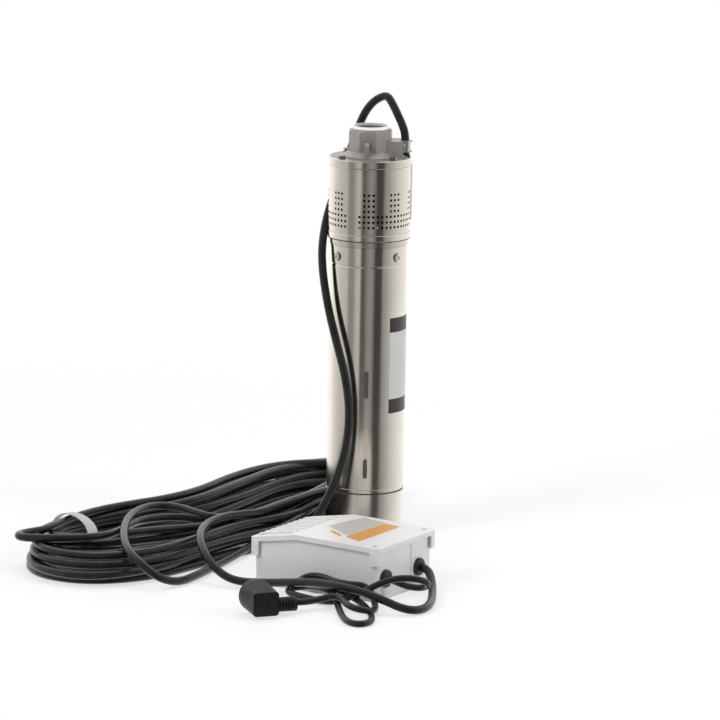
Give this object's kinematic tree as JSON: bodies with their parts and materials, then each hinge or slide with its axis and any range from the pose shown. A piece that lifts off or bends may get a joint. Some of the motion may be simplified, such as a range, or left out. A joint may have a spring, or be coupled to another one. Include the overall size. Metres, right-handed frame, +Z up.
{
  "type": "submersible pump",
  "caption": "Slim stainless borehole pump with octagonal threaded outlet, perforated strainer sleeve, rope lugs, coiled lead, control box and plug.",
  "frame": {"origin": "centre of the flat bottom face of the pump, on the floor", "axes": "+Z up along the pump axis towards the outlet; -Y is the side the picture sees; the control box stands towards -Y and the coiled lead lies towards -X"},
  "size_m": [0.4957, 0.7541, 0.5227],
  "materials": {
    "cast_head": "cast grey, satin",
    "bright_steel": "polished stainless sheet",
    "steel": "machined steel",
    "zinc_steel": "plated fasteners",
    "brass": "machined brass",
    "cast_bracket": "cast, machined seats",
    "core_steel": "laminated sheet",
    "copper": "enamelled copper wire",
    "aluminium": "die cast",
    "black_rubber": "matt black",
    "seal_ceramic": "ground ceramic",
    "white_plastic": "satin white moulding",
    "grey_plastic": "moulded",
    "black_plastic": "moulded",
    "gasket": "soft"
  },
  "bodies": {
    "pump": {"base_cup": "bright_steel", "box_base": "white_plastic", "box_gasket": "gasket", "box_lid": "white_plastic", "bracket_seal_rings": "gasket", "cable_clamp": "bright_steel", "cable_entry_nut": "brass", "cable_entry_seal": "black_rubber", "cable_guard": "bright_steel", "capacitor_clip": "bright_steel", "casing_screws": "zinc_steel", "clamp_screws": "zinc_steel", "coil_strap": "black_plastic", "gland_bodies": "white_plastic", "gland_nuts": "white_plastic", "hank_tie": "white_plastic", "head_bolts": "zinc_steel", "head_gasket": "gasket", "lid_screws": "zinc_steel", "lower_bearing_balls": "steel", "lower_bearing_outer": "steel", "lower_bracket": "cast_bracket", "mains_lead_hank": "black_rubber", "mains_lead_loop": "black_rubber", "mains_lead_tail": "black_rubber", "motor_tube": "bright_steel", "oil_plug": "brass", "outlet_head": "cast_head", "plug_body": "black_rubber", "plug_pins": "brass", "pressure_diaphragm": "black_rubber", "pump_casing": "brass", "pump_lead_coil": "black_rubber", "pump_lead_drop": "black_rubber", "pump_lead_front": "black_rubber", "rim_band": "bright_steel", "run_capacitor": "grey_plastic", "seal_seat": "seal_ceramic", "sleeve_ring": "bright_steel", "slot_welds": "steel", "stator_core": "core_steel", "stator_windings": "copper", "strainer_sleeve": "bright_steel", "suction_cover": "brass", "terminal_block": "grey_plastic", "terminal_screws": "zinc_steel", "thermal_protector": "black_plastic", "tube_screws": "zinc_steel", "upper_bearing_balls": "steel", "upper_bearing_outer": "steel", "upper_bracket": "cast_bracket"},
    "rotor": {"shaft": "steel", "rotor_core": "core_steel", "rotor_end_rings": "aluminium", "impeller": "brass", "impeller_key": "steel", "impeller_ring": "steel", "seal_head": "black_rubber", "upper_bearing_inner": "steel", "lower_bearing_inner": "steel"}
  },
  "joints": [
    {"name": "rotor_spin", "type": "hinge", "parent": "pump", "child": "rotor", "pos_m": [0, 0, 0], "axis": [0, 0, 1], "continuous": true}
  ]
}
